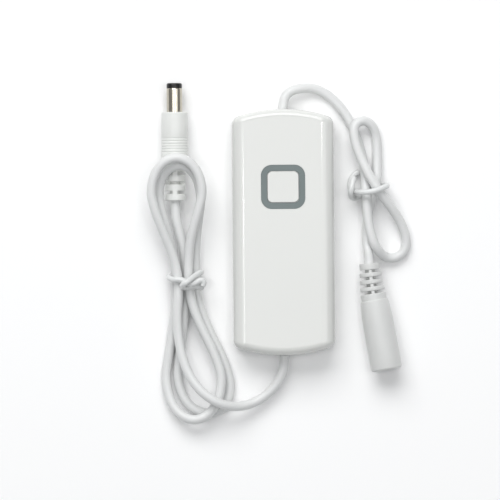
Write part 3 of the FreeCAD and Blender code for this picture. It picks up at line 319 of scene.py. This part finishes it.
# Plug moulding: white PVC moulded round the barrel's root, with a grooved grip and a strain relief
# of four ribs, whose webs lie in front in every other gap and at the sides in the rest.
plug_at = Vector((-37.77, 23.7, 4.68))
plug_length = 18.7
plug_radius = 4.68
plug_tip_radius = 4.6
plug_edge = 0.7
edge_steps = 4
plug_tip_edge = 0.49
taper_start = 13.09
taper_start_radius = 4.63
groove_count = 6
groove_pitch = 0.95
groove_width = 0.589
groove_start = 4.4
groove_depth = 0.15
groove_steps = 8
relief_core = 1.8
rib_edge = 0.28
wall_run = 0.04
grip_sides = 72
crease_angle = math.radians(40)
plug_relief_length = 12.3
plug_rib_radius = 3.5
plug_rib_gap = 1.05
plug_rib_count = 4
plug_web_width = 2
barrel_root_radius = 2.55
barrel_root_depth = 6


def quarter_round(radius, edge, height, way):
    """Heights and radii round an edge: way 1 widens from the face below, -1 closes to one above."""
    rows = []
    for step in range(edge_steps + 1):
        swing = math.pi / 2 * step / edge_steps
        rows.append((height - way * edge * math.cos(swing), radius - edge + edge * math.sin(swing)))
    return rows if way > 0 else rows[::-1]


def rise_in_rib(inside, rise, edge):
    """How far the skin stands off its core, this far inside the border of a rib or web."""
    if inside <= -wall_run:
        return 0
    if inside < 0:
        return (rise - edge) * (1 + inside / wall_run)
    inside = min(inside, edge)
    return rise - edge + math.sqrt(edge ** 2 - (edge - inside) ** 2)


def border_steps(edge):
    """Distances inside a border where the skin needs a line to follow its wall and rounded edge."""
    return [-wall_run, 0, 0.06 * edge, 0.25 * edge, 0.6 * edge, edge]


def even_swings(count):
    """Even angles all round an axis."""
    return [math.tau * step / count for step in range(count)]


def swings_for(webs):
    """Angles round an axis: even ones, and more beside the borders of the webs."""
    swings = even_swings(grip_sides)
    for sideways, width, radius in webs:
        for step in border_steps(rib_edge):
            lean_in = math.acos((width / 2 - step) / radius)
            for quarter in (lean_in, math.pi - lean_in, -lean_in, lean_in - math.pi):
                swings.append((quarter + (math.pi / 2 if sideways else 0)) % math.tau)
    return sorted(set(round(swing, 5) for swing in swings))


def relief_rows(ribs, swings, shoulder):
    """Rows of a strain relief up to its shoulder. A rib is its start, end, radius and next web."""
    heights = {shoulder}
    for start, end, radius, web in ribs:
        for step in border_steps(rib_edge):
            heights.add(round(start + step, 4))
            heights.add(round(end - step, 4))
        heights.add((start + end) / 2)
    rows = []
    for height in sorted(heights):
        inside, radius = max(
            (min(height - start, end - height), radius) for start, end, radius, web in ribs)
        webs = [web for start, end, radius, web in ribs if (start + end) / 2 <= height]
        row = []
        for swing in swings:
            rise = rise_in_rib(inside, radius - relief_core, rib_edge)
            for sideways, width, web_radius in webs[-1:]:
                off_middle = abs(web_radius * (math.sin(swing) if sideways else math.cos(swing)))
                web_rise = rise_in_rib(width / 2 - off_middle, web_radius - relief_core, rib_edge)
                rise = max(rise, web_rise)
            row.append(relief_core + rise)
        rows.append((height, row))
    return rows


def moulded_skin(name, rows, swings, stand_at):
    """One closed skin round an axis. A row is a height and a radius, or a radius at each swing."""
    vertices = []
    for height, radii in rows:
        stand = stand_at(height)
        if not isinstance(radii, list):
            radii = [radii] * len(swings)
        for swing, radius in zip(swings, radii):
            spot = stand @ Vector((radius * math.cos(swing), radius * math.sin(swing), 0))
            vertices.append(spot * MM)
    around = len(swings)
    faces = [tuple(reversed(range(around)))]
    for row in range(len(rows) - 1):
        for i in range(around):
            j = (i + 1) % around
            low, high = row * around, (row + 1) * around
            faces.append((low + i, low + j, high + j, high + i))
    last = (len(rows) - 1) * around
    faces.append(tuple(range(last, last + around)))
    mesh = bpy.data.meshes.new(name)
    mesh.from_pydata(vertices, [], faces)
    mesh.shade_smooth()
    mesh.set_sharp_from_angle(angle=crease_angle)
    skin = bpy.data.objects.new(name, mesh)
    bpy.context.scene.collection.objects.link(skin)
    return skin


def lying(at, quarter_turn, tilt=0):
    """The place of a piece built upright: its own up turned along the table, then tilted."""
    laid_down = Matrix.Rotation(math.radians(quarter_turn), 4, "X")
    turn = Matrix.Rotation(math.radians(tilt), 4, "Z") @ laid_down
    return Matrix.Translation(at) @ turn


def up_from(stand):
    """Where a straight piece has each row: its height above the place that it stands at."""
    return lambda height: stand @ Matrix.Translation((0, 0, height))


front_web = (False, plug_web_width, plug_rib_radius)
side_web = (True, plug_web_width, plug_rib_radius)
rib_pitch = (plug_relief_length + plug_rib_gap) / plug_rib_count
plug_ribs = []
for rib in range(plug_rib_count):
    start = rib * rib_pitch - plug_relief_length
    web = side_web if rib % 2 else front_web
    plug_ribs.append((start, start + rib_pitch - plug_rib_gap, plug_rib_radius, web))
plug_swings = swings_for([front_web, side_web])
plug_rows = [(-plug_relief_length, relief_core), *relief_rows(plug_ribs, plug_swings, 0)[1:]]
plug_rows += quarter_round(plug_radius, plug_edge, plug_edge, 1)
for groove in range(groove_count):
    for step in range(groove_steps + 1):
        share = step / groove_steps
        height = groove_start + groove_pitch * groove + groove_width * share
        plug_rows.append((height, plug_radius - groove_depth * math.sin(math.pi * share) ** 2))
plug_rows.append((taper_start, taper_start_radius))
plug_rows += quarter_round(plug_tip_radius, plug_tip_edge, plug_length - plug_tip_edge, -1)
plug_rows += [
    (plug_length, barrel_root_radius), (plug_length - barrel_root_depth, barrel_root_radius)]

# Soft PVC from a polished mould: satin, with faint flow marks
plug_pvc = moulded(
    "moulded_pvc", pale="#E5E6E3", deep="#DEE0DD", gloss=(0.3, 0.4), index=1.53,
    mottle_mm=8, grain_mm=1.1, grain_depth_mm=0.006)
plug_stand = lying(plug_at, -90)
plug_body = moulded_skin("plug_moulding", plug_rows, plug_swings, up_from(plug_stand))
plug_body.data.materials.append(plug_pvc)
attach(plug_body, "case")
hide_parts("plug_body")


# Plug barrel: a drawn brass tube, nickel plated and bright, with fine turning marks round it.
# The tube in its middle and the socket's pin and leaf contact have the same plating.
def bright_metal(name, tone, gloss, mark_mm, mark_depth_mm, stretch):
    """A bright metal with fine marks: stretch squeezes them along X, Y and Z into lines."""
    material = blank_material(name)
    place = add_node(material, "ShaderNodeTexCoord").outputs["Object"]
    lines = add_node(material, "ShaderNodeMapping", {"Vector": place, "Scale": stretch})
    marks = add_node(
        material, "ShaderNodeTexNoise",
        {"Vector": lines.outputs["Vector"], "Scale": 1 / (mark_mm * MM), "Detail": 3,
         "Roughness": 0.6})
    sheen = add_node(
        material, "ShaderNodeMapRange",
        {"Value": marks.outputs["Fac"], "To Min": gloss[0], "To Max": gloss[1]})
    bump = add_node(
        material, "ShaderNodeBump",
        {"Height": marks.outputs["Fac"], "Strength": 1, "Distance": mark_depth_mm * MM})
    tint = add_node(
        material, "ShaderNodeMix",
        {FACTOR: marks.outputs["Fac"], FIRST: colour(tone[0]), SECOND: colour(tone[1])},
        data_type="RGBA")
    shader = add_node(
        material, "ShaderNodeBsdfPrincipled",
        {"Base Color": tint.outputs[MIXED], "Metallic": 1, "Roughness": sheen.outputs["Result"],
         "Normal": bump.outputs["Normal"]})
    add_node(material, "ShaderNodeOutputMaterial", {"Surface": shader.outputs["BSDF"]})
    return material


nickel = bright_metal(
    "bright_nickel_plate", ("#C8C2B5", "#B8B2A5"), (0.13, 0.2), mark_mm=1.5, mark_depth_mm=0.0004,
    stretch=(0.2, 6, 0.2))
for node in ("plug_sleeve", "plug_contact", "socket_pin", "socket_spring"):
    finish_node(node, nickel)


# Plug nose: a black insulator, moulded in glossy nylon. It lines the barrel round the contact tube,
# and its rounded end stands as wide as the barrel.
liner_radius = 2.25
liner_start = 12.7
barrel_end = 27.1
nose_radius = 2.72
nose_end = 28.85
nose_edge = 0.55
nose_mouth_radius = 1.3
contact_end = 27.5
contact_foot = 13.7
contact_radius = 1.45
nose_sides = 48
round_swings = even_swings(nose_sides)
nose_rows = [(liner_start, liner_radius), (barrel_end, liner_radius), (barrel_end, nose_radius)]
nose_rows += quarter_round(nose_radius, nose_edge, nose_end - nose_edge, -1)
nose_rows += [
    (nose_end, nose_mouth_radius), (contact_end, nose_mouth_radius), (contact_end, contact_radius),
    (contact_foot, contact_radius)]
nose_plastic = moulded(
    "glossy_black_nylon", pale="#0E0E0E", deep="#090909", gloss=(0.24, 0.34), index=1.53,
    mottle_mm=3, grain_mm=0.8, grain_depth_mm=0.004)
plug_nose = moulded_skin("plug_nose", nose_rows, round_swings, up_from(plug_stand))
plug_nose.data.materials.append(nose_plastic)
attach(plug_nose, "case")
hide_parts("plug_insulator")


# Socket moulding: white PVC, a swelling grip round the black insert and a strain relief whose ribs
# hang on a spine in front and behind, bent where the cord pulls it aside.
socket_at = Vector((31.57, -24.03, 5.45))
socket_tilt = 9.7
socket_length = 24.8
socket_edge = 0.8
grip_waist = [(0.35, 4.8), (1.5, 5), (3.2, 5.18), (5.5, 5.33), (9, 5.42), (15, 5.45)]
socket_mouth_radius = 5.45
insert_radius = 4
insert_length = 16
socket_relief_length = 12.9
socket_relief_bend = math.radians(5.7)
first_ring_length = 2.3
first_ring_radius = 4.4
end_ring_length = 2.2
socket_rib_length = 1.5
socket_rib_radii = [4.3, 4.05, 3.82]
end_ring_radius = 3.6
spine_width = 1.3
spine_drop = 0.25
ring_in_grip = 0.5
shoulder_edge = 0.35

bow_radius = socket_relief_length / socket_relief_bend


def along_bend(height):
    """The place of a row: straight in the grip, and along the bent strain relief behind it."""
    if height >= 0:
        return socket_stand @ Matrix.Translation((0, 0, height))
    swing = height / bow_radius
    spot = Matrix.Translation((bow_radius * (1 - math.cos(swing)), 0, bow_radius * math.sin(swing)))
    return socket_stand @ spot @ Matrix.Rotation(swing, 4, "Y")


socket_stand = lying(socket_at, 90, socket_tilt)
rib_total = first_ring_length + end_ring_length + len(socket_rib_radii) * socket_rib_length
socket_gap = (socket_relief_length - rib_total) / (len(socket_rib_radii) + 1)
socket_ribs = [(-first_ring_length, ring_in_grip, first_ring_radius)]
top = -first_ring_length - socket_gap
for radius in socket_rib_radii:
    socket_ribs.append((top - socket_rib_length, top, radius))
    top -= socket_rib_length + socket_gap
socket_ribs.append((-socket_relief_length, top, end_ring_radius))
socket_ribs = [
    (start, end, radius, (False, spine_width, radius - spine_drop))
    for start, end, radius in reversed(socket_ribs)]
socket_swings = swings_for([web for start, end, radius, web in socket_ribs[:-1]])
socket_rows = [
    (-socket_relief_length, relief_core),
    *[row for row in relief_rows(socket_ribs, socket_swings, 0)[1:] if row[0] < 0]]
socket_rows += quarter_round(grip_waist[0][1], shoulder_edge, shoulder_edge, 1)
socket_rows += grip_waist[1:]
socket_rows += quarter_round(socket_mouth_radius, socket_edge, socket_length - socket_edge, -1)
socket_rows += [(socket_length, insert_radius), (socket_length - insert_length, insert_radius)]
# The same soft PVC as the plug's, painted a little greyer: painted shade for the dimmer light where
# the socket lies
socket_pvc_painted_shade = moulded(
    "moulded_pvc_painted_shade", pale="#D8D9D7", deep="#D1D2D1", gloss=(0.3, 0.4), index=1.53,
    mottle_mm=8, grain_mm=1.1, grain_depth_mm=0.006)
socket_body = moulded_skin("socket_moulding", socket_rows, socket_swings, along_bend)
socket_body.data.materials.append(socket_pvc_painted_shade)
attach(socket_body, "case")
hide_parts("socket_body")


# Socket insert: a round moulding of matt black nylon, pressed into the socket's grip.
# The centre pin stands in its bore, with the leaf contact beside it.
insert_plastic = moulded(
    "matt_black_nylon", pale="#1C1C1C", deep="#151515", gloss=(0.4, 0.5), index=1.53,
    mottle_mm=3, grain_mm=0.6, grain_depth_mm=0.006)
finish_node("socket_insert", insert_plastic)


# Cord collars: PVC, moulded on the jackets, and held by ribs of both shells. Behind its collar each
# cord parts into a red and a black core, which are soldered to the board.
finish_node("input_cord_collar", plug_pvc)
finish_node("output_cord_collar", plug_pvc)
core_red = moulded(
    "red_pvc_core", pale="#B3201C", deep="#9C1815", gloss=(0.35, 0.45), index=1.53,
    mottle_mm=2, grain_mm=0.4, grain_depth_mm=0.004)
core_black = moulded(
    "black_pvc_core", pale="#1B1B1B", deep="#131313", gloss=(0.35, 0.45), index=1.53,
    mottle_mm=2, grain_mm=0.4, grain_depth_mm=0.004)
for cord in ("input", "output"):
    finish_node(f"{cord}_positive_core", core_red)
    finish_node(f"{cord}_negative_core", core_black)


# Circuit boards: glass-epoxy laminate under green solder mask, with copper tracks that show through
# as paler lines 0.4 mm wide. The radio has a small board of its own.
track_pitch_mm = 1.8
board_laminate = blank_material("green_solder_mask")
place = add_node(board_laminate, "ShaderNodeTexCoord").outputs["Object"]
tracks = add_node(
    board_laminate, "ShaderNodeTexBrick",
    {"Vector": place, "Color1": colour("#14532B"), "Color2": colour("#17592F"),
     "Mortar": colour("#2E7A47"), "Scale": 1 / (track_pitch_mm * MM), "Mortar Size": 0.12,
     "Mortar Smooth": 0.2, "Brick Width": 3.4, "Row Height": 1})
step_of_copper = add_node(
    board_laminate, "ShaderNodeBump", {"Height": tracks.outputs["Fac"], "Distance": 0.03 * MM})
shader = add_node(
    board_laminate, "ShaderNodeBsdfPrincipled",
    {"Base Color": tracks.outputs["Color"], "Roughness": 0.28, "IOR": 1.55,
     "Normal": step_of_copper.outputs["Normal"]})
add_node(board_laminate, "ShaderNodeOutputMaterial", {"Surface": shader.outputs["BSDF"]})
for node in ("circuit_board", "wireless_module"):
    finish_node(node, board_laminate)


# Chips, transistors and the capacitor's base: black epoxy, moulded in a sandblasted tool, which
# leaves them matt. They sit flat on the boards.
chip_epoxy = moulded(
    "sandblasted_black_epoxy", pale="#252525", deep="#1C1C1C", gloss=(0.55, 0.68), index=1.55,
    mottle_mm=2, grain_mm=0.12, grain_depth_mm=0.01)
for node in (
        "radio_chip", "driver_chip", "power_transistors", "voltage_regulator", "capacitor_base"):
    finish_node(node, chip_epoxy)


# Push switch: a black nylon base and plunger, held by a cover plate of tinned steel, on four legs
# of bright steel. The radio's shield is of the plate's sheet, and the driver chip's legs and the
# transistors' tabs are pressed like the switch's legs.
switch_nylon = moulded(
    "switch_nylon", pale="#222222", deep="#191919", gloss=(0.42, 0.52), index=1.53,
    mottle_mm=2, grain_mm=0.3, grain_depth_mm=0.006)
for node in ("switch_base", "switch_plunger"):
    finish_node(node, switch_nylon)
pressed_steel = bright_metal(
    "pressed_stainless_steel", ("#C9C9C6", "#B5B5B2"), (0.22, 0.34), mark_mm=0.5,
    mark_depth_mm=0.002, stretch=(8, 0.6, 1))
for node in ("switch_legs", "driver_chip_legs", "transistor_tabs"):
    finish_node(node, pressed_steel)
tinned_steel = bright_metal(
    "tinned_steel_sheet", ("#CDCDC9", "#B9BAB8"), (0.3, 0.42), mark_mm=1.2, mark_depth_mm=0.003,
    stretch=(1, 1, 1))
for node in ("switch_cover_plate", "module_shield"):
    finish_node(node, tinned_steel)


# Switch leaf: a dome of thin stainless steel, loose in the switch's base, with the plunger on its
# crown. In the real switch the plunger flattens it while the button is down, and it springs back;
# here it is built in its resting shape and rides on the case.
dome_foot = Vector((0, 15.8, 5.6))
dome_radius = 2
dome_rise = 1.15
dome_sheet = 0.12
dome_rings = 12
dome_bow = (dome_radius ** 2 + dome_rise ** 2) / (2 * dome_rise)


def side_of_dome(bow):
    """Rows from the crown of the dome down to its foot, on a ball of this radius."""
    middle = dome_rise - dome_bow
    rings = (0.1, *range(1, dome_rings + 1))
    swings = [math.acos(-middle / bow) * ring / dome_rings for ring in rings]
    return [(middle + bow * math.cos(swing), bow * math.sin(swing)) for swing in swings]


dome_rows = side_of_dome(dome_bow - dome_sheet) + side_of_dome(dome_bow)[::-1]
dome_stand = Matrix.Translation(dome_foot)
switch_leaf = moulded_skin("switch_leaf", dome_rows, round_swings, up_from(dome_stand))
switch_leaf.data.materials.append(pressed_steel)
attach(switch_leaf, "case")
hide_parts("switch_dome")
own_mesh(switch_leaf)


# Other parts on the board: a drawn aluminium can, a pressed ferrite inductor, a polymer fuse, fired
# ceramic chip parts and a light in clear resin. Bright solder joins the four cores to the board.
solder = bright_metal(
    "reflowed_solder", ("#D2D3D4", "#BCBEC0"), (0.2, 0.38), mark_mm=0.7, mark_depth_mm=0.01,
    stretch=(1, 1, 1))
finish_node("solder_joints", solder)
capacitor_can = bright_metal(
    "drawn_aluminium_can", ("#DADADB", "#C8C8CA"), (0.28, 0.36), mark_mm=0.6, mark_depth_mm=0.002,
    stretch=(0.4, 0.4, 5))
finish_node("filter_capacitor", capacitor_can)
small_parts = {
    "power_inductor": ("pressed_ferrite", "#34343A", "#27272B", (0.6, 0.75), 0.15, 0.02),
    "resettable_fuse": ("green_fuse_polymer", "#1E5A34", "#184C2B", (0.45, 0.6), 0.3, 0.01),
    "chip_capacitors": ("fired_tan_ceramic", "#B59468", "#A08057", (0.4, 0.5), 0.1, 0.004),
    "chip_resistors": ("glazed_black_ceramic", "#1E1E22", "#151518", (0.2, 0.35), 0.2, 0.004),
    "status_light": ("clear_resin_lens", "#EFEBD6", "#E3DEC2", (0.1, 0.18), 0.4, 0.002)}
for node, (finish, pale, deep, gloss, grain_mm, depth_mm) in small_parts.items():
    part_finish = moulded(
        finish, pale, deep, gloss, index=1.55, mottle_mm=1.5, grain_mm=grain_mm,
        grain_depth_mm=depth_mm)
    finish_node(node, part_finish)


# Studio: a white table in a pale room, under one large soft light from beyond the output cord. A
# long ceiling light shines in the plug's barrel, and three small strip lights high above draw the
# bright lines on the case's rolls.
table_half = 4000 * MM
table_drop = 0.1 * MM
table_mesh = bpy.data.meshes.new("white_table")
table_corners = [
    (x * table_half, y * table_half, -table_drop) for x, y in ((-1, -1), (1, -1), (1, 1), (-1, 1))]
table_mesh.from_pydata(table_corners, [], [(0, 1, 2, 3)])
table = bpy.data.objects.new("white_table", table_mesh)
bpy.context.scene.collection.objects.link(table)
paint = blank_material("white_table_paint")
shader = add_node(
    paint, "ShaderNodeBsdfPrincipled",
    {"Base Color": colour("#FCFCFC"), "Roughness": 0.9, "Specular IOR Level": 0.1})
add_node(paint, "ShaderNodeOutputMaterial", {"Surface": shader.outputs["BSDF"]})
table_mesh.materials.append(paint)

room_colour = "#F4F6F8"
room_strength = 0.36
world = bpy.data.worlds.new("pale_room")
world.use_nodes = True
room = world.node_tree.nodes["Background"].inputs
room["Color"].default_value = colour(room_colour)
room["Strength"].default_value = room_strength
bpy.context.scene.world = world


def soft_light(name, place, size, power):
    """A rectangular area light, aimed at the middle of the case."""
    lamp = bpy.data.lights.new(name, "AREA")
    lamp.shape = "RECTANGLE"
    lamp.size, lamp.size_y = size
    lamp.energy = power
    light = bpy.data.objects.new(name, lamp)
    light.location = place
    light.rotation_euler = Vector((0, 0, 1)).rotation_difference(Vector(place)).to_euler()
    bpy.context.scene.collection.objects.link(light)


# Places and sizes of the lights are in metres, and their power is in watts
soft_light("window_light", (-0.24, 1, 1.1), size=(1.4, 0.9), power=17.1)
soft_light("ceiling_light", (0.15, 0, 1.2), size=(2, 0.3), power=3.2)
soft_light("left_strip_light", (-0.29, -0.07, 1), size=(0.06, 0.235), power=0.31)
soft_light("short_left_light", (-0.284, 0.015, 0.98), size=(0.06, 0.03), power=0.13)
soft_light("short_right_light", (0.23, 0.085, 1), size=(0.06, 0.05), power=0.42)
